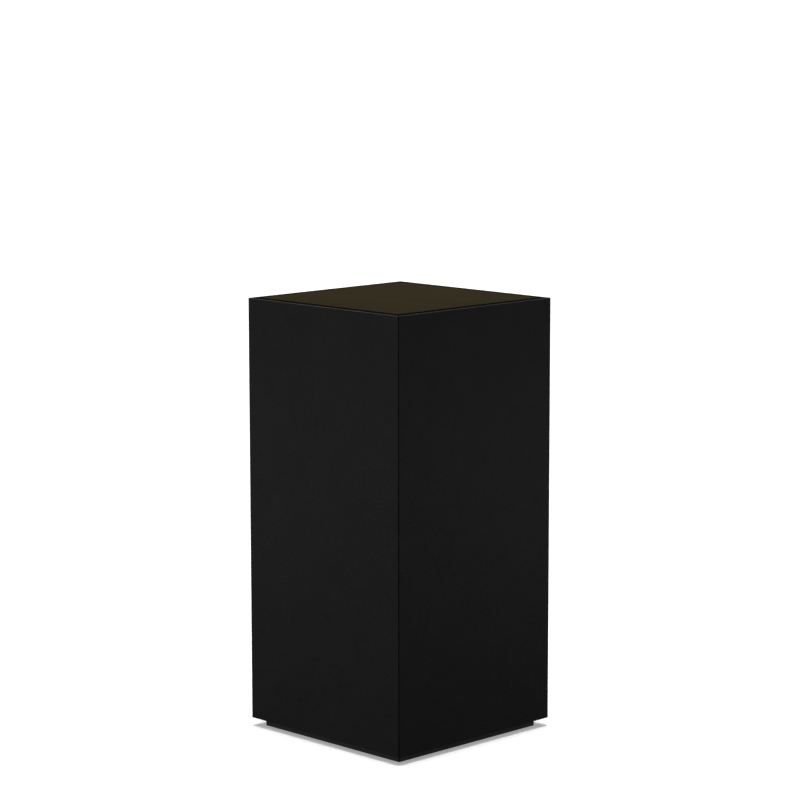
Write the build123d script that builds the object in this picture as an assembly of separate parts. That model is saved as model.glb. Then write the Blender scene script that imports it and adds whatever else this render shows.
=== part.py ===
"""Display plinth: a square black box on a recessed base ring, with an inset lift-out deck.

Units are millimetres. +Z is up, the origin is on the floor at the centre of the footprint,
and the walls face -Y (front), +X (right), +Y (back) and -X (left).
"""

import os
from math import sqrt

from build123d import *

# ---------------------------------------------------------------- overall sizes
side = 445.0                 # outside width and depth of the shell
height = 915.0               # floor to the deck surface
toe_height = 17.5            # floor to the bottom edge of the walls
toe_inset = 21.0             # how far the base ring stands back from the walls

# ---------------------------------------------------------------- shell
wall = 12.0                  # wall panel thickness
rim_drop = 0.5               # deck surface above the top edge of the walls
outer_ease = 1.5             # round on the outer top edge
inner_ease = 0.8             # round on the inner top edge
foot_ease = 0.6              # round on the outer bottom edge
tip_ease = 1.2               # each mitre's tip is eased this far along its face
tip_depth = 0.9              # and this deep on the mitre, so a fine V runs down each corner
spline_thickness = 3.0       # spline, along the mitre
spline_width = 8.0           # spline, across the mitre
spline_margin = 0.9          # mitre face left between the board's corner and the spline
spline_stop = 16.0           # spline ends this far short of the wall's top and bottom

# ---------------------------------------------------------------- carcass inside the shell
board_thickness = 15.0       # bottom board
housing = 4.0                # depth of the groove that the bottom board sits in
board_lip = 4.0              # wall left below the groove
post = 25.0                  # square corner post
cleat_width = 25.0           # deck cleat, out from the wall
cleat_height = 35.0          # deck cleat, upright
rail_thickness = 18.0        # mid rail, out from the wall
rail_height = 45.0           # mid rail, upright
rail_level = 450.0           # floor to the middle of the mid rails
timber_ease = 1.5            # round on the exposed edges of posts, cleats and rails

# ---------------------------------------------------------------- base ring
toe_rail = 22.0              # thickness of the base ring's rails
toe_block = 26.0             # leg of the triangular block in each corner of the ring
toe_ease = 0.5               # round on the ring's outer bottom edge

# ---------------------------------------------------------------- deck
shadow_gap = 7.0             # wall to deck, all round
core_thickness = 18.0        # deck board
facing_thickness = 1.0       # sheet on top of the deck board
facing_ease = 0.3            # round on the sheet's top edge
pad_radius = 6.0             # rubber pad under the deck
pad_thickness = 2.0          # rubber pad, upright
pad_spread = 130.0           # pad to the middle of its cleat
pin_radius = 4.0             # locating dowel
pin_seat = 16.0              # dowel length in the cleat
pin_reach = 8.0              # dowel length in the deck
pin_clearance = 0.1          # dowel to deck hole, on the radius
pin_relief = 2.0             # deck hole deeper than the dowel's reach
pin_chamfer = 1.0            # chamfer on the dowel's ends

# ---------------------------------------------------------------- screws
screw_radius = 2.0           # shank
screw_head_radius = 3.9      # countersunk head
screw_head_height = 2.2      # countersunk head
screw_tip = 3.5              # length of the pointed end
screw_clearance = 0.05       # screw to hole, on the radius
screw_skin = 4.0             # wall left ahead of a screw's point
slot_width = 0.9             # cross slot in the head
slot_length = 4.2            # cross slot in the head
slot_depth = 1.4             # cross slot in the head
cleat_sink = 3.0             # cleat screws are sunk this far below the cleat's face
cleat_screw_spread = 150.0   # outer cleat screws to the middle one
rail_screw_spread = 110.0    # mid rail screws to the middle of the rail
board_screw_spread = 110.0   # board screws to the middle of the ring's rail
board_screw_bite = 15.0      # board screw length in the base ring

# ---------------------------------------------------------------- levelling feet
foot_inward = 52.0           # base ring's outer face to the foot's axis
foot_recess = 1.0            # wound fully in, the pad is this far above the floor
foot_travel = 10.0           # how far the pad winds out
foot_pad_radius = 16.0       # swivel pad
foot_pad_height = 6.0        # swivel pad's disc
foot_hub_radius = 9.0        # raised hub that holds the stem
stem_radius = 4.0            # M8 thread, taken as its outside
stem_flange_radius = 6.0     # flange captive inside the pad
stem_flange_height = 2.5     # flange captive inside the pad
stem_floor = 2.5             # pad left under the stem
collar_height = 6.0          # hexagonal collar on the stem
collar_across = 13.0         # hexagonal collar, across the flats
key_across = 4.0             # hexagonal key socket in the stem's top end
key_depth = 5.0              # hexagonal key socket
insert_radius = 5.5          # threaded insert's barrel
insert_length = 12.0         # barrel in the board
insert_flange_radius = 11.0  # flange under the board
insert_flange = 1.5          # flange under the board
running_clearance = 0.05     # stem to insert and stem to pad, on the radius
hole_clearance = 0.5         # stem to the board above the insert, on the radius
end_clearance = 0.2          # gap between faces that turn or stop against each other
edge_break = 0.5             # small chamfers on the foot's pieces

# ---------------------------------------------------------------- levels and places
half = side / 2
inner = half - wall
shell_bottom = toe_height
shell_top = height - rim_drop
board_bottom = shell_bottom + board_lip
board_top = board_bottom + board_thickness
deck_bottom = height - facing_thickness - core_thickness
cleat_top = deck_bottom - pad_thickness
cleat_bottom = cleat_top - cleat_height
deck_side = 2 * (inner - shadow_gap)
ring_half = half - toe_inset
ring_middle = ring_half - toe_rail / 2
cleat_centre = cleat_width / 2
bearing_middle = (inner - shadow_gap + inner - cleat_width) / 2
foot_place = ring_half - foot_inward

SIDES = ["front", "right", "back", "left"]
CORNERS = ["front_right", "back_right", "back_left", "front_left"]


# ---------------------------------------------------------------- helpers
def block(x_low, x_high, y_low, y_high, z_low, z_high):
    """A box between two corners."""
    size = Box(x_high - x_low, y_high - y_low, z_high - z_low)
    middle = Pos((x_low + x_high) / 2, (y_low + y_high) / 2, (z_low + z_high) / 2)
    return middle * size


def rod(radius, z_low, z_high):
    """An upright cylinder on the Z axis."""
    return Pos(0, 0, (z_low + z_high) / 2) * Cylinder(radius, z_high - z_low)


def cone(z_low, radius_low, z_high, radius_high):
    """An upright cone frustum on the Z axis."""
    return Pos(0, 0, (z_low + z_high) / 2) * Cone(radius_low, radius_high, z_high - z_low)


def prism(points, z_low, z_high):
    """An upright prism over a plan outline."""
    outline = Plane.XY.offset(z_low) * make_face(Polyline(points, close=True))
    return extrude(outline, z_high - z_low)


def hexagon(across, z_low, z_high):
    """An upright hexagonal prism on the Z axis."""
    outline = Plane.XY.offset(z_low) * RegularPolygon(across / 2, 6, major_radius=False)
    return extrude(outline, z_high - z_low)


def turned(solid, quarter):
    """The same piece a number of quarter turns round the plinth's centre line."""
    return Rot(0, 0, 90 * quarter) * solid


def long_edges(piece, level):
    """A front-side piece's edges along X at its lowest (0) or highest (-1) level, outer first."""
    return piece.edges().filter_by(Axis.X).group_by(Axis.Z)[level].sort_by(Axis.Y)


def save(name, shape):
    """Write one piece, or one group of identical pieces, to its own file."""
    export_step(shape, os.path.join("parts", name + ".step"))


# ---------------------------------------------------------------- screws
def screw_outline(length, grow=0.0):
    """Countersunk screw pointing down, the top of its head at Z = 0."""
    head = cone(-screw_head_height, screw_radius + grow, 0, screw_head_radius + grow)
    shank = rod(screw_radius + grow, screw_tip - length, -screw_head_height)
    point = cone(-length - grow, 0.2, screw_tip - length, screw_radius + grow)
    return head + shank + point


def screw(length):
    """The screw with its cross slot."""
    slot = Box(slot_length, slot_width, 2 * slot_depth)
    return screw_outline(length) - slot - Rot(0, 0, 90) * slot


def screw_hole(length, sink):
    """The hole that the screw fills, with its sinking above the head."""
    hole = screw_outline(length, screw_clearance)
    if sink > 0:
        hole += rod(screw_head_radius + screw_clearance, 0, sink)
    return hole


wall_bite = wall - screw_skin
cleat_screw_length = cleat_width - cleat_sink + wall_bite
rail_screw_length = rail_thickness + wall_bite
board_screw_length = board_thickness + board_screw_bite


def cleat_screw_places():
    """Three screws through the front cleat, lying on their side and pointing at the wall."""
    face = -(inner - cleat_width) - cleat_sink
    level = (cleat_top + cleat_bottom) / 2
    offsets = (-cleat_screw_spread, 0, cleat_screw_spread)
    return [Pos(cleat_centre + offset, face, level) * Rot(-90, 0, 0) for offset in offsets]


def rail_screw_places():
    """Two screws through the front mid rail, pointing at the wall."""
    face = -(inner - rail_thickness)
    offsets = (-rail_screw_spread, rail_screw_spread)
    return [Pos(offset, face, rail_level) * Rot(-90, 0, 0) for offset in offsets]


def board_screw_places():
    """Two screws down through the bottom board into the ring's front rail."""
    offsets = (-board_screw_spread, board_screw_spread)
    return [Pos(offset, -ring_middle, board_top) for offset in offsets]


def screw_group(places, length):
    """All four sides' screws of one kind, as separate solids."""
    solids = [turned(place * screw(length), quarter) for quarter in range(4) for place in places]
    return Compound(solids)


def cut_screws(piece, places, length, sink):
    """A front-side piece with its screw holes."""
    for place in places:
        piece -= place * screw_hole(length, sink)
    return piece


# ---------------------------------------------------------------- shell
def mitre_spline():
    """The front-right mitre's spline, stopped short of both ends."""
    start = housing * sqrt(2) + spline_margin
    middle = inner + (start + spline_thickness / 2) / sqrt(2)
    length = shell_top - shell_bottom - 2 * spline_stop
    strip = Box(spline_thickness, spline_width, length)
    return Pos(middle, -middle, (shell_top + shell_bottom) / 2) * Rot(0, 0, -45) * strip


def wall_panel():
    """The front wall: a mitred panel with eased edges, housing, spline grooves and screw holes."""
    plan = [
        (-half + tip_ease, -half),
        (half - tip_ease, -half),
        (half - tip_depth, -half + tip_depth),
        (inner, -inner),
        (-inner, -inner),
        (-half + tip_depth, -half + tip_depth),
    ]
    panel = prism(plan, shell_bottom, shell_top)
    panel = fillet(long_edges(panel, -1)[0], outer_ease)
    panel = fillet(long_edges(panel, -1)[-1], inner_ease)
    panel = fillet(long_edges(panel, 0)[0], foot_ease)
    panel -= block(-half, half, -inner - housing, -inner, board_bottom, board_top)
    panel -= mitre_spline()
    panel -= turned(mitre_spline(), 3)
    panel = cut_screws(panel, cleat_screw_places(), cleat_screw_length, cleat_sink)
    return cut_screws(panel, rail_screw_places(), rail_screw_length, 0)


# ---------------------------------------------------------------- carcass inside the shell
def corner_post():
    """The front-right post, from the bottom board up to the cleats."""
    near = inner - post
    piece = block(near, inner, -inner, -near, board_top, cleat_bottom)
    uprights = piece.edges().filter_by(Axis.Z).group_by(Axis.X)[0]
    return fillet(uprights.sort_by(Axis.Y)[-1], timber_ease)


def deck_cleat():
    """The front cleat. Each cleat butts against the next one, so all four are alike."""
    cleat = block(-(inner - cleat_width), inner, -inner, -(inner - cleat_width),
                  cleat_bottom, cleat_top)
    cleat = fillet([long_edges(cleat, 0)[-1], long_edges(cleat, -1)[-1]], timber_ease)
    cleat -= Pos(0, -bearing_middle, 0) * rod(pin_radius + screw_clearance,
                                              cleat_top - pin_seat, cleat_top)
    return cut_screws(cleat, cleat_screw_places(), cleat_screw_length, cleat_sink)


def mid_rail():
    """The front rail between two posts."""
    reach = inner - post
    low = rail_level - rail_height / 2
    rail = block(-reach, reach, -inner, -(inner - rail_thickness), low, low + rail_height)
    rail = fillet([long_edges(rail, 0)[-1], long_edges(rail, -1)[-1]], timber_ease)
    return cut_screws(rail, rail_screw_places(), rail_screw_length, 0)


def bottom_board():
    """The board housed in the walls, bored for the inserts and the screws of the base ring."""
    reach = inner + housing
    board = block(-reach, reach, -reach, reach, board_bottom, board_top)
    bore = rod(insert_radius + screw_clearance, board_bottom, board_bottom + insert_length)
    bore += rod(stem_radius + hole_clearance, board_bottom, board_top)
    for quarter in range(4):
        board -= turned(Pos(foot_place, -foot_place, 0) * bore, quarter)
        for place in board_screw_places():
            board -= turned(place * screw_hole(board_screw_length, 0), quarter)
    return board


# ---------------------------------------------------------------- base ring
def toe_kick_rail():
    """The front rail of the base ring, mitred at both ends."""
    back = ring_half - toe_rail
    plan = [(-ring_half, -ring_half), (ring_half, -ring_half), (back, -back), (-back, -back)]
    rail = prism(plan, 0, board_bottom)
    rail = fillet(long_edges(rail, 0)[0], toe_ease)
    return cut_screws(rail, board_screw_places(), board_screw_length, 0)


def toe_kick_block():
    """The triangular block in the ring's front-right corner, a little short of the floor."""
    back = ring_half - toe_rail
    plan = [(back, -back), (back, -back + toe_block), (back - toe_block, -back)]
    return prism(plan, end_clearance, board_bottom)


# ---------------------------------------------------------------- deck
def deck_core():
    """The deck board, with blind holes for the locating dowels."""
    reach = deck_side / 2
    core = block(-reach, reach, -reach, reach, deck_bottom, deck_bottom + core_thickness)
    hole = rod(pin_radius + pin_clearance, deck_bottom, deck_bottom + pin_reach + pin_relief)
    for quarter in range(4):
        core -= turned(Pos(0, -bearing_middle, 0) * hole, quarter)
    return core


def deck_facing():
    """The sheet on top of the deck board."""
    reach = deck_side / 2
    sheet = block(-reach, reach, -reach, reach, height - facing_thickness, height)
    return chamfer(sheet.faces().sort_by(Axis.Z)[-1].edges(), facing_ease)


def deck_pads():
    """Two rubber pads on each cleat."""
    pad = rod(pad_radius, cleat_top, deck_bottom)
    solids = [turned(Pos(offset, -bearing_middle, 0) * pad, quarter)
              for quarter in range(4)
              for offset in (-pad_spread, pad_spread)]
    return Compound(solids)


def deck_pins():
    """One locating dowel in the middle of each cleat."""
    pin = rod(pin_radius, cleat_top - pin_seat, deck_bottom + pin_reach)
    pin = chamfer(pin.edges().filter_by(GeomType.CIRCLE), pin_chamfer)
    return Compound([turned(Pos(0, -bearing_middle, 0) * pin, quarter) for quarter in range(4)])


# ---------------------------------------------------------------- levelling feet
collar_top = board_bottom - insert_flange - end_clearance
collar_bottom = collar_top - collar_height
hub_top = collar_bottom - end_clearance
stem_bottom = foot_recess + stem_floor
stem_top = board_top + foot_travel


def foot_insert():
    """The front-right foot's threaded insert: a barrel with a flange under the board."""
    insert = rod(insert_radius, board_bottom, board_bottom + insert_length)
    insert += rod(insert_flange_radius, board_bottom - insert_flange, board_bottom)
    insert -= rod(stem_radius + running_clearance, board_bottom - insert_flange,
                  board_bottom + insert_length)
    return Pos(foot_place, -foot_place, 0) * insert


def foot_stem():
    """The front-right foot's stem: captive flange, neck, hexagonal collar, thread and key socket."""
    flange_top = stem_bottom + stem_flange_height
    stem = rod(stem_radius, stem_bottom, stem_top)
    stem = chamfer(stem.edges().filter_by(GeomType.CIRCLE).sort_by(Axis.Z)[-1], edge_break)
    stem += rod(stem_flange_radius, stem_bottom, flange_top)
    stem += hexagon(collar_across, collar_bottom, collar_top)
    stem -= hexagon(key_across, stem_top - key_depth, stem_top)
    return Pos(foot_place, -foot_place, 0) * stem


def foot_pad():
    """The front-right foot's pad: a disc with a hub that holds the stem's flange captive."""
    pad = rod(foot_pad_radius, foot_recess, foot_recess + foot_pad_height)
    pad = chamfer(pad.edges().filter_by(GeomType.CIRCLE), edge_break)
    pad += rod(foot_hub_radius, foot_recess + foot_pad_height, hub_top)
    flange_room = stem_bottom + stem_flange_height + end_clearance
    pad -= rod(stem_flange_radius + running_clearance, stem_bottom - end_clearance, flange_room)
    pad -= rod(stem_radius + running_clearance, flange_room, hub_top)
    return Pos(foot_place, -foot_place, 0) * pad


# ---------------------------------------------------------------- write every piece
os.makedirs("parts", exist_ok=True)

FOR_EACH_SIDE = {
    "wall": wall_panel(),
    "deck_cleat": deck_cleat(),
    "mid_rail": mid_rail(),
    "toe_kick": toe_kick_rail(),
}
FOR_EACH_CORNER = {
    "mitre_spline": mitre_spline(),
    "corner_post": corner_post(),
    "toe_kick_block": toe_kick_block(),
    "foot_stem": foot_stem(),
    "foot_pad": foot_pad(),
}
for name, piece in FOR_EACH_SIDE.items():
    for quarter, where in enumerate(SIDES):
        save(name + "_" + where, turned(piece, quarter))
for name, piece in FOR_EACH_CORNER.items():
    for quarter, where in enumerate(CORNERS):
        save(name + "_" + where, turned(piece, quarter))

save("bottom_board", bottom_board())
save("deck_core", deck_core())
save("deck_facing", deck_facing())
save("deck_pads", deck_pads())
save("deck_pins", deck_pins())
save("foot_inserts", Compound([turned(foot_insert(), quarter) for quarter in range(4)]))
save("cleat_screws", screw_group(cleat_screw_places(), cleat_screw_length))
save("rail_screws", screw_group(rail_screw_places(), rail_screw_length))
save("board_screws", screw_group(board_screw_places(), board_screw_length))
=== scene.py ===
"""Display plinth: its looks, floor, light and camera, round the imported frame.

Units are metres. +Z is up, the origin is on the floor under the middle of the plinth, and the
walls face -Y (front), +X (right), +Y (back) and -X (left).
"""

from math import cos, pi, radians, sin, sqrt, tau

import bmesh
import bpy
from mathutils import Matrix, Vector


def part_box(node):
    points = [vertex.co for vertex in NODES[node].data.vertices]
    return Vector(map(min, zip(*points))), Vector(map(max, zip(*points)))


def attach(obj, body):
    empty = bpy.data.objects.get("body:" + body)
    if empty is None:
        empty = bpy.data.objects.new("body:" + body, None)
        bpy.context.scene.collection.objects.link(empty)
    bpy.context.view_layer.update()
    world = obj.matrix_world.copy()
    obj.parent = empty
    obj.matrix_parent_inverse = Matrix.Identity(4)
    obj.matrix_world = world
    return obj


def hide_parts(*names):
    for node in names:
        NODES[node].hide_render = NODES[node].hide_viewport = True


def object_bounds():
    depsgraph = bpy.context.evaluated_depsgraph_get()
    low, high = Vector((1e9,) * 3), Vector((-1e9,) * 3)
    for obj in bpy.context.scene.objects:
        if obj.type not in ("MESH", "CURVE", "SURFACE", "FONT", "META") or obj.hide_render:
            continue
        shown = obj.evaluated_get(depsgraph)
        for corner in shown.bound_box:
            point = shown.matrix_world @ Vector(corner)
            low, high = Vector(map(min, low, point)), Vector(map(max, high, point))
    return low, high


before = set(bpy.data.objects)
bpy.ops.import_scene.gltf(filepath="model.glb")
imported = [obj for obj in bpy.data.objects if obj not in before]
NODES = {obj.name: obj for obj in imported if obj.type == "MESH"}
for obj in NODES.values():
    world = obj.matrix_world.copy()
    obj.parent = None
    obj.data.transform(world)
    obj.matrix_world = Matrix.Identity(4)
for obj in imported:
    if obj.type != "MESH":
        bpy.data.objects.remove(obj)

CAD_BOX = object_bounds()
MM = 0.001

SIDES = ["front", "right", "back", "left"]
CORNERS = ["front_right", "back_right", "back_left", "front_left"]

# ---------------------------------------------------------------- sizes read from the frame
wall_low, wall_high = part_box("wall_front")
ring_low, ring_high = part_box("toe_kick_front")
core_low, core_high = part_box("deck_core")
facing_low, facing_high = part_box("deck_facing")
cleat_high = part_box("deck_cleat_front")[1]

HALF = -wall_low.y                       # outside face of the shell
WALL = wall_high.y - wall_low.y          # wall thickness
SHELL_BOTTOM = wall_low.z
SHELL_TOP = wall_high.z
RING_HALF = -ring_low.y                  # outside face of the base ring
RING_WALL = ring_high.y - ring_low.y
TOP = CAD_BOX[1].z
pins_low, pins_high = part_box("deck_pins")
pads_low, pads_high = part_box("deck_pads")
BEARING = (core_high.x - cleat_high.y) / 2    # the middle of the deck's bearing on the cleats
PIN_PLACES = [(0, -BEARING), (BEARING, 0), (0, BEARING), (-BEARING, 0)]
PIN_RADIUS = pins_high.x - BEARING
PIN_PLAY = 0.1 * MM                      # dowel to deck hole, on the radius
PIN_RELIEF = 2.0 * MM                    # deck hole beyond the dowel
PAD_RADIUS = pads_high.x - BEARING
PAD_SPREAD = 130 * MM                    # rubber pads each side of a dowel
SPRAY_DROP = 11.5 * MM                   # black overspray reaches this far below the cleats' tops
CAMERA_TURN = radians(45.378)            # the camera's turn from facing the front

# ---------------------------------------------------------------- levelling feet
THREAD_CREST = 4.0 * MM                  # radius over the thread and the plain neck
THREAD_PITCH = 1.25 * MM
THREAD_DEPTH = 0.68 * MM
THREAD_STEPS = 8                         # mesh rings in one thread pitch
STEM_FLANGE = 6.0 * MM                   # radius of the flange captive in the pad
STEM_FLANGE_HEIGHT = 2.5 * MM
COLLAR_CHAMFER = 0.4 * MM                # on the collar's ends, upright
COLLAR_CORNER_CUT = 0.55 * MM            # off the collar's corners at its ends
KEY_ACROSS = 4.0 * MM                    # hexagonal key socket in the stem's top end
KEY_DEPTH = 5.0 * MM
DISC_HEIGHT = 6.0 * MM                   # the swivel pad's disc
DISC_EASE = 0.6 * MM
HUB_RADIUS = 9.0 * MM                    # the raised hub round the stem
HUB_EASE = 0.5 * MM
PAD_PLAY = 0.3 * MM                      # stem to pad, on the radius
END_GAP = 0.2 * MM                       # collar to pad and to insert, flange to pad
STEP = 1e-6                              # keeps two mesh rings at one level apart

# ---------------------------------------------------------------- edge treatment
RIM_OUTER = 1.5 * MM                     # round on the walls' outer top edge
RIM_INNER = 0.8 * MM                     # round on the walls' inner top edge
SHELL_FOOT = 0.6 * MM                    # round on the walls' outer bottom edge
TIP_EASE = 1.2 * MM                      # each mitre's tip, along its face
TIP_DEPTH = 0.9 * MM                     # each mitre's tip, into the corner
RING_EASE = 0.5 * MM                     # round on the base ring's bottom edge
FACING_EASE = 0.3 * MM                   # round on the deck sheet's edges
FACING_CORNER = 0.6 * MM                 # round on the deck sheet's upright corners
CORE_EASE = 0.4 * MM                     # round on the deck board's edges
CORE_CORNER = 0.8 * MM                   # round on the deck board's upright corners
SHARPEST = 0.05 * MM                     # least radius of an upright corner
RUBBER_EASE = 0.45 * MM                  # round on the rubber pads' edges
ARC_STEPS = 6                            # mesh rings in an edge's quarter round
TIP_STEPS = 4                            # points along a mitre's tip, less one
WEAR_AND_HIGHLIGHT_REACH = 0.72 * MM                   # handling marks and the painted highlight fade out this far from the middle of a round
SUPPORT = 7 * MM                         # extra mesh lines this far from the edges


# ================================================================ mesh building
def finish_mesh(name, bm, material_list, smooth_angle=35):
    """Turns a bmesh into a linked object with smooth rounds and sharp corners."""
    bmesh.ops.recalc_face_normals(bm, faces=bm.faces)
    mesh = bpy.data.meshes.new(name)
    bm.to_mesh(mesh)
    bm.free()
    for material in material_list:
        mesh.materials.append(material)
    mesh.shade_smooth()
    mesh.set_sharp_from_angle(angle=radians(smooth_angle))
    obj = bpy.data.objects.new(name, mesh)
    bpy.context.scene.collection.objects.link(obj)
    weighted = obj.modifiers.new("even_shading", "WEIGHTED_NORMAL")
    weighted.keep_sharp = True
    return obj


def add_loft(bm, rings, cap_start=True, cap_end=True):
    """Joins rings of points, all of one length, with quads; returns the rows of new faces."""
    loops = [[bm.verts.new(point) for point in ring] for ring in rings]
    count = len(loops[0])
    rows = []
    for lower, upper in zip(loops, loops[1:]):
        rows.append([
            bm.faces.new((lower[i], lower[(i + 1) % count], upper[(i + 1) % count], upper[i]))
            for i in range(count)
        ])
    if cap_start:
        rows.insert(0, [bm.faces.new(list(reversed(loops[0])))])
    if cap_end:
        rows.append([bm.faces.new(loops[-1])])
    return rows


def circle(radius, z, centre, steps=48):
    """A level outline whose radius is a number or a function of its angle."""
    points = []
    for i in range(steps):
        turn = tau * i / steps
        reach = radius(turn) if callable(radius) else radius
        points.append(Vector((centre[0] + reach * cos(turn), centre[1] + reach * sin(turn), z)))
    return points


def add_lathe(bm, profile, centre, steps=48):
    """A turned shape from (radius, z) points, closed at both ends."""
    return add_loft(bm, [circle(radius, z, centre, steps) for radius, z in profile])


def arc(radius_from, z_from, radius_to, z_to, bulge_out=True, steps=4):
    """A quarter round between two (radius, z) points of a turned profile."""
    points = []
    for i in range(steps + 1):
        t = pi / 2 * i / steps
        across, along = (sin(t), 1 - cos(t)) if bulge_out else (1 - cos(t), sin(t))
        points.append((radius_from + (radius_to - radius_from) * across,
                       z_from + (z_to - z_from) * along))
    return points


def spin(obj, quarter):
    """Turns a front piece's mesh to another side of the plinth."""
    obj.data.transform(Matrix.Rotation(pi / 2 * quarter, 4, "Z"))
    return obj


def round_inset(gap, radius):
    """How far a rounded edge stands back from its face, at a height gap from the edge's end."""
    if gap >= radius:
        return 0.0
    return radius - sqrt(max(radius ** 2 - (radius - gap) ** 2, 0.0))


def arc_levels(start, radius, direction):
    """Heights at which a quarter round of that radius is cut, from its end towards the face."""
    return [start + direction * radius * (1 - cos(pi / 2 * i / ARC_STEPS)) for i in range(ARC_STEPS + 1)]


def mark_wear_and_highlight(bm, edge_distance, reach):
    """Stores how worn each point is, which also sets its painted highlight, from 1 on an exposed edge to
    0 at the reach and on open faces.
    """
    layer = bm.verts.layers.float.new("wear_and_highlight")
    for vert in bm.verts:
        vert[layer] = max(0.0, 1.0 - edge_distance(vert.co) / reach)


def tip_points(outer):
    """The eased tip of a mitre, from the face to the mitre, for an outer face at -outer."""
    points = []
    for i in range(TIP_STEPS + 1):
        t = pi / 2 * i / TIP_STEPS
        x = outer - TIP_EASE + (TIP_EASE - TIP_DEPTH) * sin(t)
        y = -outer + TIP_DEPTH * (1 - cos(t))
        points.append((x, y))
    return points


def mitred_panel(name, half, thickness, bottom, top, eases, material_list):
    """A front panel with mitred ends; eases are its outer bottom, outer top and inner top rounds.

    Its materials are for the outside, the inside face, and the V groove with the mitre planes, which is
    painted darker as shade.
    """
    outer_bottom, outer_top, inner_top = eases
    levels = arc_levels(bottom, outer_bottom, 1) + [bottom + SUPPORT, top - SUPPORT]
    levels += arc_levels(top, outer_top, -1) + arc_levels(top, max(inner_top, 1e-5), -1)
    levels = sorted(set(round(level, 7) for level in levels if bottom <= level <= top))
    rings = []
    for z in levels:
        outer = half - round_inset(z - bottom, outer_bottom) - round_inset(top - z, outer_top)
        inner = half - thickness + round_inset(top - z, inner_top)
        right_tip = tip_points(outer)
        left_tip = [(-x, y) for x, y in reversed(right_tip)]
        support = outer - SUPPORT
        face = [(-support, -outer), (support, -outer)]
        plan = left_tip + face + right_tip + [(inner, -inner), (-inner, -inner)]
        rings.append([Vector((x, y, z)) for x, y in plan])
    bm = bmesh.new()
    rows = add_loft(bm, rings)
    tip = TIP_STEPS + 1
    inside_face = 2 * tip + 2
    groove_faces = [*range(tip - 1), *range(tip + 2, inside_face), inside_face + 1]
    for row in rows[1:-1]:
        row[inside_face].material_index = 1
        for index in groove_faces:
            row[index].material_index = 2

    def rim_distance(co):
        on_outside = co.y < thickness / 2 - half
        return abs(top - co.z - RIM_OUTER / 2) if on_outside else WEAR_AND_HIGHLIGHT_REACH
    mark_wear_and_highlight(bm, rim_distance, WEAR_AND_HIGHLIGHT_REACH)
    return finish_mesh(name, bm, material_list)


def rounded_outline(half, corner, z, inset=0.0, steps=4):
    """A level square outline with rounded corners, anticlockwise."""
    reach = half - inset
    corner = max(corner - inset, SHARPEST)
    points = []
    for quarter in range(4):
        for i in range(steps + 1):
            turn = pi / 2 * (quarter + i / steps)
            centre = Matrix.Rotation(pi / 2 * quarter, 2) @ Vector((reach - corner, reach - corner))
            points.append(Vector((centre.x + corner * cos(turn), centre.y + corner * sin(turn), z)))
    return points


def slab_rings(half, corner, bottom, top, ease):
    """Outlines of a square slab with eased top and bottom edges."""
    levels = sorted(set(arc_levels(bottom, ease, 1) + arc_levels(top, ease, -1)))
    return [
        rounded_outline(half, corner, z, round_inset(z - bottom, ease) + round_inset(top - z, ease))
        for z in levels
    ]


# ================================================================ materials
class Nodes:
    """A node tree and the position that its textures read."""

    def __init__(self, tree, position):
        self.tree = tree
        self.position = position

    def add(self, kind, inputs=None, **settings):
        """A node with its settings, and its inputs fed by sockets or plain values."""
        node = self.tree.nodes.new(kind)
        for key, value in settings.items():
            setattr(node, key, value)
        for key, value in (inputs or {}).items():
            self.feed(node.inputs[key], value)
        return node

    def feed(self, socket, value):
        """Links a socket or sets a plain value."""
        if isinstance(value, bpy.types.NodeSocket):
            self.tree.links.new(value, socket)
        else:
            socket.default_value = value

    def stretched(self, scale):
        """The coordinates scaled unevenly, for grain and brushing."""
        return self.add("ShaderNodeMapping", {"Vector": self.position, "Scale": scale}).outputs[0]

    def noise(self, scale, detail=2.0, roughness=0.5, vector=None, distortion=0.0):
        """Cloudy noise from 0 to 1; scale is in features per metre."""
        inputs = {"Vector": vector or self.position, "Scale": scale, "Detail": detail,
                  "Roughness": roughness, "Distortion": distortion}
        return self.add("ShaderNodeTexNoise", inputs).outputs["Fac"]

    def cells(self, scale, vector=None):
        """Distance to scattered points, for crystals, dust and flecks."""
        inputs = {"Vector": vector or self.position, "Scale": scale}
        return self.add("ShaderNodeTexVoronoi", inputs).outputs["Distance"]

    def spread(self, value, low, high, to_low=0.0, to_high=1.0, smooth=False):
        """Maps a range to another and clamps it."""
        kind = "SMOOTHSTEP" if smooth else "LINEAR"
        inputs = {"Value": value, "From Min": low, "From Max": high, "To Min": to_low, "To Max": to_high}
        return self.add("ShaderNodeMapRange", inputs, interpolation_type=kind).outputs["Result"]

    def calc(self, operation, first, second=0.0):
        """Arithmetic on two values."""
        node = self.add("ShaderNodeMath", operation=operation)
        self.feed(node.inputs[0], first)
        self.feed(node.inputs[1], second)
        return node.outputs[0]

    def blend(self, factor, first, second):
        """Mixes two colours."""
        node = self.add("ShaderNodeMix", data_type="RGBA")
        self.feed(node.inputs["Factor"], factor)
        for socket, value in zip([s for s in node.inputs if s.type == "RGBA"], (first, second)):
            self.feed(socket, (*value, 1.0) if isinstance(value, tuple) else value)
        return [s for s in node.outputs if s.type == "RGBA"][0]

    def height(self):
        """The height above the floor."""
        return self.add("ShaderNodeSeparateXYZ", {"Vector": self.position}).outputs["Z"]

    def wear_and_highlight(self):
        """How worn each point of an edge is, which also sets its painted highlight, as stored on the
        mesh; pieces without it have none.
        """
        return self.add("ShaderNodeAttribute", attribute_name="wear_and_highlight").outputs["Fac"]

    def bump(self, height, depth, strength=1.0, under=None):
        """Relief of that depth in metres, over an earlier bump."""
        inputs = {"Height": height, "Strength": strength, "Distance": depth}
        if under is not None:
            inputs["Normal"] = under
        return self.add("ShaderNodeBump", inputs).outputs["Normal"]


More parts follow.
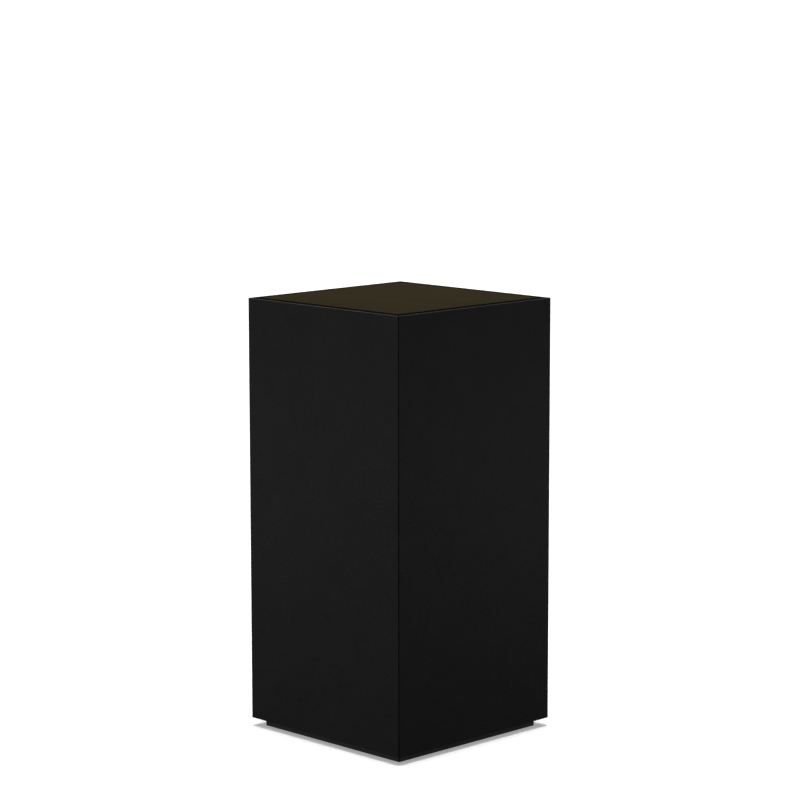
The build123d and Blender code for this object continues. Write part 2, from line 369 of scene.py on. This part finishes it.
class Shader(Nodes):
    """One material. Colours and bumps use the piece's own coordinates, in metres."""

    def __init__(self, name):
        self.material = bpy.data.materials.new(name)
        self.material.use_nodes = True
        tree = self.material.node_tree
        self.surface = tree.nodes["Principled BSDF"]
        super().__init__(tree, tree.nodes.new("ShaderNodeTexCoord").outputs["Object"])

    def set(self, **inputs):
        """Sets the surface shader's inputs, with underscores for the spaces in their names."""
        for key, value in inputs.items():
            self.feed(self.surface.inputs[key.replace("_", " ")], value)


def shell_coating():
    """Matte black, finely pebbled coating, worn by rubbing along the rim's edge and dull on its flat
    top; that edge is painted lighter, partly for the worn paint and partly as a painted highlight.
    """
    m = Shader("shell_coating")
    pebble = m.noise(700.0, 3.0, 0.6)
    speckle = m.noise(230.0, 3.0, 0.6)
    cloud = m.noise(16.0, 5.0, 0.6)
    tone = m.calc("ADD", m.spread(speckle, 0.32, 0.68, 0.0, 0.6), m.spread(cloud, 0.3, 0.7, 0.0, 0.4))
    base = m.blend(tone, (0.0020, 0.0018, 0.0019), (0.0205, 0.0183, 0.0196))
    # Painted highlight, partly real: the rim's rounded outer edge is worn and painted a light bluish
    # grey.
    rubbed_and_highlight = m.calc("MULTIPLY", m.wear_and_highlight(), m.spread(m.noise(140.0, 4.0, 0.65), 0.3, 0.7, 0.6, 1.0))
    base = m.blend(rubbed_and_highlight, base, (0.145, 0.151, 0.165))
    dust = m.spread(m.cells(95.0), 0.018, 0.03, 0.35, 0.0)
    m.set(Base_Color=m.blend(dust, base, (0.045, 0.044, 0.042)))
    rim_from, rim_to = SHELL_TOP - 0.5 * MM, SHELL_TOP - 0.1 * MM
    polish = m.spread(m.height(), rim_from, rim_to, 0.0, 0.24)
    matte = m.spread(speckle, 0.25, 0.75, 0.48, 0.64)
    rough = m.calc("SUBTRACT", matte, m.calc("MULTIPLY", rubbed_and_highlight, 0.10))
    m.set(Roughness=m.calc("SUBTRACT", rough, polish))
    relief = m.bump(cloud, 1.0 * MM, 0.7)
    relief = m.bump(speckle, 0.55 * MM, 0.8, relief)
    m.set(Specular_IOR_Level=m.spread(m.height(), rim_from, rim_to, 0.5, 0.02))
    m.set(Normal=m.bump(pebble, 0.08 * MM, 0.7, relief))
    return m.material


def seam_painted_shade():
    """Dull black in the fine V between two mitred panels, painted darker than the coating to stand in
    for the groove's shade.
    """
    m = Shader("seam_painted_shade")
    grit = m.noise(900.0, 3.0, 0.7)
    # Painted shade: a near-black colour for the shade in the groove.
    base = m.blend(m.spread(grit, 0.4, 0.8), (0.0015, 0.0014, 0.0014), (0.0060, 0.0056, 0.0055))
    m.set(Base_Color=base)
    m.set(Roughness=m.spread(grit, 0.2, 0.8, 0.85, 1.0), Specular_IOR_Level=0.05)
    m.set(Normal=m.bump(grit, 0.1 * MM, 0.8))
    return m.material


def ring_coating_painted_bounce():
    """Smoother matte black on the base ring, painted lighter than the shell to stand in for light
    bounced up from the floor, and scuffed and dusty towards the floor.
    """
    m = Shader("ring_coating_painted_bounce")
    cloud = m.noise(18.0, 4.0, 0.55)
    grain = m.noise(500.0, 2.0)
    # Painted light: this black is several times lighter than the shell's, for the floor's bounce light.
    base = m.blend(m.spread(cloud, 0.3, 0.7), (0.064, 0.0612, 0.0622), (0.087, 0.0838, 0.0848))
    low_down = m.spread(m.height(), RING_EASE, 9 * MM, 1.0, 0.0, True)
    scuff = m.spread(m.noise(60.0, 5.0, 0.7, m.stretched((1.0, 1.0, 4.0))), 0.48, 0.72, 0.0, 0.6)
    scuff = m.calc("MULTIPLY", scuff, low_down)
    m.set(Base_Color=m.blend(scuff, base, (0.060, 0.058, 0.054)))
    m.set(Roughness=m.spread(cloud, 0.25, 0.75, 0.48, 0.62), Specular_IOR_Level=0.4)
    m.set(Normal=m.bump(grain, 0.04 * MM, 0.5, m.bump(cloud, 0.2 * MM, 0.5)))
    return m.material


def deck_sheet():
    """Satin olive-bronze sheet with a fine brushed grain and soft handling marks; its rounded top edge
    is worn and painted lighter, partly as a painted highlight.
    """
    m = Shader("deck_sheet")
    brushed = m.noise(110.0, 3.0, 0.55, m.stretched((0.03, 1.0, 1.0)))
    cloud = m.noise(4.0, 2.0, 0.5, distortion=0.4)
    smear = m.spread(m.noise(9.0, 3.0, 0.5, distortion=0.8), 0.40, 0.80)
    tone = m.calc("ADD", m.spread(brushed, 0.3, 0.7, 0.0, 0.65), m.spread(cloud, 0.3, 0.7, 0.0, 0.35))
    base = m.blend(tone, (0.0690, 0.0563, 0.0285), (0.0940, 0.0773, 0.0405))
    # Painted highlight, partly real: the sheet's rounded top edge is worn and painted a lighter bronze.
    rubbed_and_highlight = m.calc("MULTIPLY", m.wear_and_highlight(), m.spread(m.noise(90.0, 3.0), 0.3, 0.7, 0.1, 0.7))
    m.set(Base_Color=m.blend(rubbed_and_highlight, base, (0.165, 0.135, 0.080)))
    satin = m.spread(brushed, 0.2, 0.8, 0.76, 0.84)
    m.set(Roughness=m.calc("ADD", satin, m.calc("MULTIPLY", smear, 0.04)))
    relief = m.bump(brushed, 0.006 * MM, 0.5, m.bump(cloud, 0.10 * MM, 0.3))
    m.set(Specular_IOR_Level=0.01, Normal=relief)
    return m.material


def sprayed_black(m, base, level):
    """Black overspray that fades out below a height."""
    ragged, fade = 5 * MM, 9 * MM
    edge = m.spread(m.noise(90.0, 4.0, 0.7), 0.2, 0.8, -ragged, ragged)
    mist = m.calc("ADD", m.height(), edge)
    cover = m.spread(mist, level - fade, level, 0.0, 0.97, True)
    return m.blend(cover, base, (0.0095, 0.0090, 0.0092))


def fibreboard(name="fibreboard", spray_above=None):
    """Raw fibreboard: fine compressed fibres with darker flecks."""
    m = Shader(name)
    fibre = m.noise(240.0, 5.0, 0.75, m.stretched((1.0, 1.0, 3.0)))
    fleck = m.spread(m.cells(420.0), 0.05, 0.25, 0.5, 0.0)
    cloud = m.noise(9.0, 2.0)
    base = m.blend(m.spread(fibre, 0.3, 0.7), (0.250, 0.155, 0.080), (0.345, 0.230, 0.130))
    base = m.blend(m.spread(cloud, 0.3, 0.7, 0.0, 0.35), base, (0.300, 0.180, 0.090))
    base = m.blend(fleck, base, (0.150, 0.085, 0.040))
    if spray_above is not None:
        base = sprayed_black(m, base, spray_above)
    m.set(Base_Color=base, Roughness=m.spread(fibre, 0.2, 0.8, 0.72, 0.9), Specular_IOR_Level=0.25)
    m.set(Normal=m.bump(fibre, 0.08 * MM, 0.6))
    return m.material


def pine(axis, spray_above=None):
    """Planed softwood whose grain runs along X, Y or Z, with growth rings and fine pores."""
    m = Shader("pine_" + axis.lower())
    along = {"X": (0.06, 1.0, 1.0), "Y": (1.0, 0.06, 1.0), "Z": (1.0, 1.0, 0.06)}[axis]
    straight = m.stretched(along)
    bend = m.noise(9.0, 2.0, 0.5, straight)
    bends = m.add("ShaderNodeCombineXYZ", {"X": bend, "Y": bend, "Z": bend}).outputs[0]
    offset = m.add("ShaderNodeVectorMath", {0: bends, "Scale": 0.035}, operation="SCALE").outputs[0]
    bent = m.add("ShaderNodeVectorMath", {0: straight, 1: offset}, operation="ADD").outputs[0]
    rings = m.add("ShaderNodeTexWave",
                  {"Vector": bent, "Scale": 62.0, "Distortion": 1.2, "Detail": 2.0,
                   "Detail Scale": 18.0},
                  wave_type="RINGS", rings_direction=axis, wave_profile="SAW").outputs["Fac"]
    late = m.spread(rings, 0.55, 0.98, 0.0, 1.0)
    pores = m.noise(1300.0, 2.0, 0.6, m.stretched(tuple(0.03 if s < 1 else 1.0 for s in along)))
    base = m.blend(late, (0.640, 0.440, 0.235), (0.450, 0.245, 0.095))
    base = m.blend(m.spread(pores, 0.45, 0.75, 0.0, 0.5), base, (0.380, 0.220, 0.100))
    base = m.blend(m.spread(m.noise(5.0, 2.0), 0.3, 0.7, 0.0, 0.25), base, (0.600, 0.370, 0.170))
    if spray_above is not None:
        base = sprayed_black(m, base, spray_above)
    m.set(Base_Color=base, Roughness=m.spread(late, 0.0, 1.0, 0.62, 0.5), Specular_IOR_Level=0.35)
    m.set(Normal=m.bump(pores, 0.05 * MM, 0.6, m.bump(late, 0.10 * MM, 0.4)))
    return m.material


def plywood():
    """Birch plywood, its plies stacked upwards."""
    m = Shader("plywood")
    two_plies = 2.8 * MM
    ply = m.calc("FRACT", m.calc("MULTIPLY", m.height(), 1 / two_plies))
    grain = m.noise(300.0, 4.0, 0.6, m.stretched((0.1, 1.0, 1.0)))
    base = m.blend(m.spread(ply, 0.46, 0.54), (0.560, 0.390, 0.210), (0.330, 0.200, 0.095))
    m.set(Base_Color=m.blend(m.spread(grain, 0.4, 0.8, 0.0, 0.5), base, (0.420, 0.260, 0.120)))
    m.set(Roughness=m.spread(grain, 0.3, 0.7, 0.6, 0.75), Specular_IOR_Level=0.4)
    m.set(Normal=m.bump(grain, 0.05 * MM, 0.5))
    return m.material


def beech():
    """Turned beech with short upright flecks."""
    m = Shader("beech")
    fleck = m.cells(900.0, vector=m.stretched((1.0, 1.0, 0.12)))
    tone = m.noise(70.0, 3.0, 0.5, m.stretched((1.0, 1.0, 0.2)))
    base = m.blend(m.spread(tone, 0.3, 0.7), (0.440, 0.235, 0.115), (0.560, 0.330, 0.175))
    m.set(Base_Color=m.blend(m.spread(fleck, 0.05, 0.3, 0.6, 0.0), base, (0.300, 0.140, 0.060)))
    m.set(Roughness=m.spread(tone, 0.3, 0.7, 0.45, 0.6), Normal=m.bump(fleck, 0.04 * MM, 0.5))
    return m.material


def rubber():
    """Black rubber with a moulded grain and a little dust."""
    m = Shader("rubber")
    grain = m.noise(1400.0, 3.0, 0.6)
    dust = m.spread(m.noise(180.0, 4.0, 0.7), 0.5, 0.8, 0.0, 0.35)
    m.set(Base_Color=m.blend(dust, (0.010, 0.010, 0.010), (0.060, 0.058, 0.054)))
    m.set(Roughness=m.spread(grain, 0.2, 0.8, 0.75, 0.92), Specular_IOR_Level=0.35)
    m.set(Normal=m.bump(grain, 0.05 * MM, 0.6))
    return m.material


def nylon():
    """Black moulded nylon, fine-sparked, with scuffs on its edges."""
    m = Shader("nylon")
    spark = m.noise(1800.0, 2.0, 0.6)
    scuff = m.spread(m.noise(220.0, 5.0, 0.7), 0.58, 0.75, 0.0, 0.5)
    m.set(Base_Color=m.blend(scuff, (0.011, 0.011, 0.012), (0.050, 0.050, 0.052)))
    m.set(Roughness=m.spread(spark, 0.3, 0.7, 0.42, 0.6), Specular_IOR_Level=0.45)
    m.set(Normal=m.bump(spark, 0.03 * MM, 0.6))
    return m.material


def plated_steel(name, bright, dull, warmth=None):
    """Zinc-plated steel: cloudy crystals, and a passivation tint on yellow plating."""
    m = Shader(name)
    crystal = m.cells(520.0)
    cloud = m.noise(160.0, 4.0, 0.6)
    base = m.blend(m.spread(crystal, 0.1, 0.6), bright, dull)
    if warmth is not None:
        base = m.blend(m.spread(cloud, 0.4, 0.7), base, warmth)
    m.set(Base_Color=base, Metallic=1.0, Roughness=m.spread(cloud, 0.25, 0.75, 0.24, 0.42))
    m.set(Normal=m.bump(crystal, 0.02 * MM, 0.4))
    return m.material


def black_board():
    """Fibreboard edges rolled with matte black paint."""
    m = Shader("black_board")
    nap = m.noise(420.0, 3.0, 0.6)
    thin = m.spread(m.noise(55.0, 5.0, 0.65), 0.6, 0.8, 0.0, 0.35)
    m.set(Base_Color=m.blend(thin, (0.0090, 0.0086, 0.0082), (0.030, 0.022, 0.015)))
    m.set(Roughness=m.spread(nap, 0.3, 0.7, 0.6, 0.8), Specular_IOR_Level=0.2)
    m.set(Normal=m.bump(nap, 0.08 * MM, 0.6))
    return m.material


SPRAY_LEVEL = cleat_high.z - SPRAY_DROP

COATING = shell_coating()
SEAM_SHADE = seam_painted_shade()
RING_PAINTED_BOUNCE = ring_coating_painted_bounce()
SHEET = deck_sheet()
BOARD = fibreboard()
WALL_INSIDE = fibreboard("wall_inside", SPRAY_LEVEL)
PINE = {axis: pine(axis, SPRAY_LEVEL if axis != "Z" else None) for axis in "XYZ"}
PLYWOOD = plywood()
BEECH = beech()
RUBBER = rubber()
NYLON = nylon()
ZINC = plated_steel("bright_zinc", (0.62, 0.63, 0.65), (0.46, 0.47, 0.49))
YELLOW_ZINC = plated_steel("yellow_zinc", (0.66, 0.54, 0.26), (0.50, 0.38, 0.16), (0.55, 0.36, 0.30))
BLACK_BOARD = black_board()


# ================================================================ pieces that replace CAD nodes
def place_piece(obj, body, slot, *nodes):
    """Lets a new piece ride on a body and stand for CAD nodes, which it hides; slot is not used."""
    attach(obj, body)
    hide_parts(*nodes)


def build_shell():
    """Four mitred wall panels, coated outside and raw inside."""
    for quarter, side in enumerate(SIDES):
        eases = (SHELL_FOOT, RIM_OUTER, RIM_INNER)
        panel = mitred_panel("wall_panel_" + side, HALF, WALL, SHELL_BOTTOM, SHELL_TOP, eases,
                             [COATING, WALL_INSIDE, SEAM_SHADE])
        place_piece(spin(panel, quarter), "plinth", "shell_black", "wall_" + side)


def build_base_ring():
    """Four mitred rails of the recessed base."""
    for quarter, side in enumerate(SIDES):
        eases = (RING_EASE, 0.0, 0.0)
        rail = mitred_panel("base_rail_" + side, RING_HALF, RING_WALL, ring_low.z, ring_high.z, eases,
                            [RING_PAINTED_BOUNCE, RING_PAINTED_BOUNCE, SEAM_SHADE])
        place_piece(spin(rail, quarter), "plinth", "toe_kick_black", "toe_kick_" + side)


def build_deck():
    """The deck board with its dowel holes, and the sheet on top of it."""
    bm = bmesh.new()
    add_loft(bm, slab_rings(facing_high.x, FACING_CORNER, facing_low.z, facing_high.z, FACING_EASE))
    mark_wear_and_highlight(bm, lambda co: abs(facing_high.z - co.z - FACING_EASE / 2), FACING_EASE / 2)
    sheet = finish_mesh("deck_sheet", bm, [SHEET])
    place_piece(sheet, "deck", "deck_bronze", "deck_facing")

    bm = bmesh.new()
    rings = slab_rings(core_high.x, CORE_CORNER, core_low.z, core_high.z, CORE_EASE)
    add_loft(bm, rings, cap_start=False)
    raw = []
    for centre in PIN_PLACES:
        ends = (core_low.z, pins_high.z + PIN_RELIEF)
        well = [circle(PIN_RADIUS + PIN_PLAY, z, centre, 36) for z in ends]
        raw += [face for row in add_loft(bm, well, cap_start=False) for face in row]
    rims = [edge for edge in bm.edges if edge.is_boundary]
    filled = bmesh.ops.triangle_fill(bm, use_beauty=True, edges=rims)["geom"]
    raw += [part for part in filled if isinstance(part, bmesh.types.BMFace)]
    for face in raw:
        face.material_index = 1
    core = finish_mesh("deck_board", bm, [BLACK_BOARD, BOARD])
    place_piece(core, "deck", "deck_board_black", "deck_core")


def hexagon(across, ease=0.0):
    """The radius of a hexagon with corners on X, by its width across flats; ease cuts its corners."""
    def radius(turn):
        to_flat = turn % (pi / 3) - pi / 6
        return min(across / 2 / cos(to_flat), across / 2 / cos(pi / 6) - ease)
    return radius


def build_deck_rest():
    """Rubber pads and fluted dowels, on the cleats."""
    radius, low, high, ease = PAD_RADIUS, pads_low.z, pads_high.z, RUBBER_EASE
    inner_ease = 0.3 * ease
    profile = [(radius - ease, low), (radius - inner_ease, low + inner_ease), (radius, low + ease),
               (radius, high - ease), (radius - inner_ease, high - inner_ease), (radius - ease, high)]
    bm = bmesh.new()
    for x, y in PIN_PLACES:
        along = Vector((y, x)).normalized() * PAD_SPREAD
        for side in (-1, 1):
            add_lathe(bm, profile, (x + side * along.x, y + side * along.y), 40)
    pads = finish_mesh("deck_rubber_pads", bm, [RUBBER])
    place_piece(pads, "plinth", "rubber_black", "deck_pads")

    low, high = pins_low.z, pins_high.z
    flutes, flute_depth = 18, 0.22 * MM

    def fluted(scale):
        return lambda turn: scale * (PIN_RADIUS - flute_depth * abs(sin(flutes / 2 * turn)))
    # The scale of the section and its height, from the chamfered foot to the rounded nose.
    sections = [(0.74, low), (0.97, low + 0.9 * MM), (1.0, low + 1.3 * MM),
                (1.0, high - 1.6 * MM), (0.97, high - 1.0 * MM), (0.86, high - 0.45 * MM),
                (0.62, high - 0.12 * MM), (0.30, high)]
    bm = bmesh.new()
    for centre in PIN_PLACES:
        add_loft(bm, [circle(fluted(scale), z, centre, 72) for scale, z in sections])
    dowels = finish_mesh("deck_dowels", bm, [BEECH])
    place_piece(dowels, "plinth", "dowel_beech", "deck_pins")


def thread_radius(z, start, end):
    """The thread's radius round a turn at one height, fading in and out at its ends."""
    crest_width, flank = 1.45, 2.6           # a flat crest between sloping flanks, per pitch
    fade_out = 0.9 * THREAD_PITCH

    def radius(turn):
        phase = (z / THREAD_PITCH - turn / tau) % 1.0
        ridge = min(1.0, max(0.0, crest_width - flank * abs(phase - 0.5)))
        fade = min(1.0, (z - start) / THREAD_PITCH, (end - z) / fade_out)
        return THREAD_CREST - THREAD_DEPTH * (1 - ridge * max(fade, 0.0))
    return radius


def stem_sections(bottom, top, across, collar_bottom, collar_top):
    """The stem's (radius, z) sections: flange, neck, collar, thread and key socket."""
    flange_top = bottom + STEM_FLANGE_HEIGHT
    cut_collar = hexagon(across, COLLAR_CORNER_CUT)
    sections = [
        (STEM_FLANGE, bottom), (STEM_FLANGE, flange_top), (THREAD_CREST, flange_top + STEP),
        (THREAD_CREST, collar_bottom - STEP), (cut_collar, collar_bottom),
        (hexagon(across), collar_bottom + COLLAR_CHAMFER),
        (hexagon(across), collar_top - COLLAR_CHAMFER), (cut_collar, collar_top),
        (THREAD_CREST - THREAD_DEPTH, collar_top + STEP),
    ]
    start, end = collar_top + 0.3 * MM, top - 0.05 * MM
    count = int((top - start) / THREAD_PITCH * THREAD_STEPS)
    for i in range(count + 1):
        z = start + (end - start) * i / count
        sections.append((thread_radius(z, start, top), z))
    mouth = 0.1 * MM
    sections += [
        (THREAD_CREST - THREAD_DEPTH - mouth, top), (hexagon(KEY_ACROSS + 2 * mouth), top - STEP),
        (hexagon(KEY_ACROSS), top - 1.5 * mouth), (hexagon(KEY_ACROSS), top - KEY_DEPTH),
    ]
    return sections


def foot_profile(radius, base, top, stem_bottom):
    """The swivel pad's (radius, z) profile: hollow sole, disc, hub and the stem's pocket."""
    disc_top = base + DISC_HEIGHT
    pocket_top = stem_bottom + STEM_FLANGE_HEIGHT + END_GAP
    profile = [(radius - 3.2 * MM, base + 0.5 * MM), (radius - 2.6 * MM, base)]
    profile += arc(radius - DISC_EASE, base, radius, base + DISC_EASE)
    profile += arc(radius, disc_top - DISC_EASE, radius - DISC_EASE, disc_top, False)
    profile += [(HUB_RADIUS + 0.9 * MM, disc_top + 0.01 * MM),
                (HUB_RADIUS + 0.25 * MM, disc_top + 0.3 * MM), (HUB_RADIUS, disc_top + 1.0 * MM)]
    profile += arc(HUB_RADIUS, top - HUB_EASE, HUB_RADIUS - HUB_EASE, top, False)
    profile += [(THREAD_CREST + PAD_PLAY, top - STEP), (THREAD_CREST + PAD_PLAY, pocket_top),
                (STEM_FLANGE + PAD_PLAY, pocket_top - STEP),
                (STEM_FLANGE + PAD_PLAY, stem_bottom - END_GAP)]
    return profile


def build_foot(corner):
    """A levelling foot: threaded stem with hexagonal collar and key socket, and its swivel pad."""
    low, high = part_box("foot_stem_" + corner)
    pad_low, pad_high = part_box("foot_pad_" + corner)
    centre = ((pad_low.x + pad_high.x) / 2, (pad_low.y + pad_high.y) / 2)
    across = min(high.x - low.x, high.y - low.y)
    collar_bottom = pad_high.z + END_GAP
    collar_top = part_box("foot_inserts")[0].z - END_GAP
    bm = bmesh.new()
    sections = stem_sections(low.z, high.z, across, collar_bottom, collar_top)
    add_loft(bm, [circle(radius, z, centre, 36) for radius, z in sections])
    stem = finish_mesh("foot_screw_" + corner, bm, [ZINC], 30)
    place_piece(stem, "stem_" + corner, "zinc_steel", "foot_stem_" + corner)

    bm = bmesh.new()
    radius = (pad_high.x - pad_low.x) / 2
    add_lathe(bm, foot_profile(radius, pad_low.z, pad_high.z, low.z), centre, 64)
    pad = finish_mesh("foot_disc_" + corner, bm, [NYLON])
    place_piece(pad, "pad_" + corner, "nylon_black", "foot_pad_" + corner)


build_shell()
build_base_ring()
build_deck()
build_deck_rest()
for corner in CORNERS:
    build_foot(corner)


# ================================================================ CAD nodes that stay
def dress(node, material):
    """Gives a CAD node its material."""
    slots = NODES[node].data.materials
    slots.clear()
    slots.append(material)


for quarter, side in enumerate(SIDES):
    grain = "X" if quarter % 2 == 0 else "Y"
    dress("deck_cleat_" + side, PINE[grain])
    dress("mid_rail_" + side, PINE[grain])
for corner in CORNERS:
    dress("mitre_spline_" + corner, PLYWOOD)
    dress("toe_kick_block_" + corner, PLYWOOD)
    dress("corner_post_" + corner, PINE["Z"])
dress("bottom_board", BOARD)
dress("foot_inserts", ZINC)
for group in ("cleat_screws", "rail_screws", "board_screws"):
    dress(group, YELLOW_ZINC)


# ================================================================ floor, light and camera
def build_floor():
    """A pale studio floor that glows a little and lights nothing itself."""
    m = Shader("studio_floor")
    cloud = m.spread(m.noise(0.8, 2.0), 0.3, 0.7)
    m.set(Base_Color=m.blend(cloud, (0.905, 0.905, 0.905), (0.925, 0.925, 0.925)))
    m.set(Roughness=0.9, Specular_IOR_Level=0.0)
    m.set(Emission_Color=(1.0, 1.0, 1.0, 1.0), Emission_Strength=0.32)
    reach = 600.0                            # metres each way, past the top of the camera's view
    bm = bmesh.new()
    corners = [(-reach, -reach, 0), (reach, -reach, 0), (reach, reach, 0), (-reach, reach, 0)]
    bm.faces.new([bm.verts.new(co) for co in corners])
    mesh = bpy.data.meshes.new("studio_floor")
    bm.to_mesh(mesh)
    bm.free()
    mesh.materials.append(m.material)
    floor_plane = bpy.data.objects.new("studio_floor", mesh)
    floor_plane.visible_diffuse = False
    floor_plane.visible_glossy = False
    bpy.context.scene.collection.objects.link(floor_plane)
    return floor_plane


def build_camera():
    """The camera, set in shell widths from the plinth, looking down at its front-right corner."""
    width = 2 * HALF
    aside, back, up = 0.0020 * width, 13.184 * width, 3.584 * width
    pitch, roll = radians(8.678), radians(-0.072)
    sensor, lens = 36.0, 127.8765            # millimetres
    level_right = Vector((cos(CAMERA_TURN), sin(CAMERA_TURN), 0))
    ahead = Vector((-sin(CAMERA_TURN), cos(CAMERA_TURN), 0))
    forward = ahead * cos(pitch) - Vector((0, 0, sin(pitch)))
    level_over = ahead * sin(pitch) + Vector((0, 0, cos(pitch)))
    right = level_right * cos(roll) + level_over * sin(roll)
    over = level_over * cos(roll) - level_right * sin(roll)
    place = level_right * aside - ahead * back + Vector((0, 0, up))
    camera = bpy.data.objects.new("camera", bpy.data.cameras.new("camera"))
    camera.data.sensor_width = sensor
    camera.data.lens = lens
    camera.data.clip_end = 2000              # metres, past the floor's far edge
    camera.matrix_world = Matrix((
        (right.x, over.x, -forward.x, place.x),
        (right.y, over.y, -forward.y, place.y),
        (right.z, over.z, -forward.z, place.z),
        (0, 0, 0, 1),
    ))
    bpy.context.scene.collection.objects.link(camera)
    bpy.context.scene.camera = camera


def build_world():
    """White behind the plinth; for light, a dim surround that is brighter to the camera's left.

    It is darkest in front of the camera, behind it and below.
    """
    world = bpy.data.worlds.new("studio")
    bpy.context.scene.world = world
    world.use_nodes = True
    tree = world.node_tree
    m = Nodes(tree, tree.nodes.new("ShaderNodeTexCoord").outputs["Generated"])
    parts = m.add("ShaderNodeSeparateXYZ", {"Vector": m.position}).outputs
    leftward = m.calc("ADD", m.calc("MULTIPLY", parts["X"], -sin(CAMERA_TURN)),
                      m.calc("MULTIPLY", parts["Y"], -cos(CAMERA_TURN)))
    left = m.spread(leftward, 0.05, 0.90, 0.02, 0.27, True)
    right = m.spread(leftward, -0.90, -0.05, 0.115, 0.0, True)
    upward = m.spread(parts["Z"], -0.40, 0.20, 0.25, 1.0, True)
    level = m.calc("MULTIPLY", m.calc("ADD", left, right), upward)
    fill = m.add("ShaderNodeBackground", {"Color": (1.0, 0.925, 0.960, 1.0), "Strength": level})
    backdrop = m.add("ShaderNodeBackground", {"Color": (1.0, 1.0, 1.0, 1.0), "Strength": 1.1})
    seen = m.add("ShaderNodeLightPath").outputs["Is Camera Ray"]
    mixed = m.add("ShaderNodeMixShader", {"Fac": seen, 1: fill.outputs[0], 2: backdrop.outputs[0]})
    tree.links.new(mixed.outputs[0], tree.nodes["World Output"].inputs["Surface"])


def light_only(light, name, obj, state):
    """Makes a light reach only one object (INCLUDE), or everything but it (EXCLUDE)."""
    group = bpy.data.collections.new(name)
    group.objects.link(obj)
    light.light_linking.receiver_collection = group
    group.collection_objects[0].light_linking.link_state = state


def softbox(name, azimuth, distance, height, width, tall, power):
    """A soft panel turned to face the plinth; it lights the plinth but isn't seen."""
    light = bpy.data.lights.new(name, "AREA")
    light.shape = "RECTANGLE"
    light.size, light.size_y = width, tall
    light.energy = power
    obj = bpy.data.objects.new(name, light)
    obj.location = Vector((distance * cos(azimuth), distance * sin(azimuth), height))
    to_plinth = Vector((0, 0, 0.6 * TOP)) - obj.location
    obj.rotation_euler = to_plinth.to_track_quat("-Z", "Y").to_euler()
    obj.visible_camera = False
    bpy.context.scene.collection.objects.link(obj)
    return obj


def build_light(floor_plane):
    """Suns keep the floor white; low panels light the walls, high ones the deck and the rim."""
    for name, spread_degrees, strength in (("floor_light", 8, 2.3), ("floor_fill", 70, 1.1)):
        light = bpy.data.lights.new(name, "SUN")
        light.energy = strength
        light.angle = radians(spread_degrees)
        obj = bpy.data.objects.new(name, light)
        obj.location = (0, 0, 4)
        bpy.context.scene.collection.objects.link(obj)
        light_only(obj, name + "_reach", floor_plane, "INCLUDE")
    for name, azimuth, power in (("left", CAMERA_TURN + pi, 0.34), ("right", CAMERA_TURN, 0.50)):
        softbox("panel_" + name, azimuth, 1.6, 0.28, 0.7, 0.5, power)
    for quarter, side in enumerate(SIDES):
        softbox("face_panel_" + side, pi / 2 * (quarter - 1), 2.4, 0.30, 1.5, 0.5, 2.4)
    for name, degrees, power in (("upper_left", 192, 16.0), ("upper_right", 78, 15.0)):
        panel = softbox(name, radians(degrees), 1.75, 2.85, 1.4, 1.4, power)
        light_only(panel, name + "_reach", floor_plane, "EXCLUDE")
    bpy.context.scene.view_settings.view_transform = "Standard"
    bpy.context.scene.view_settings.look = "None"


studio_floor = build_floor()
build_camera()
build_world()
build_light(studio_floor)
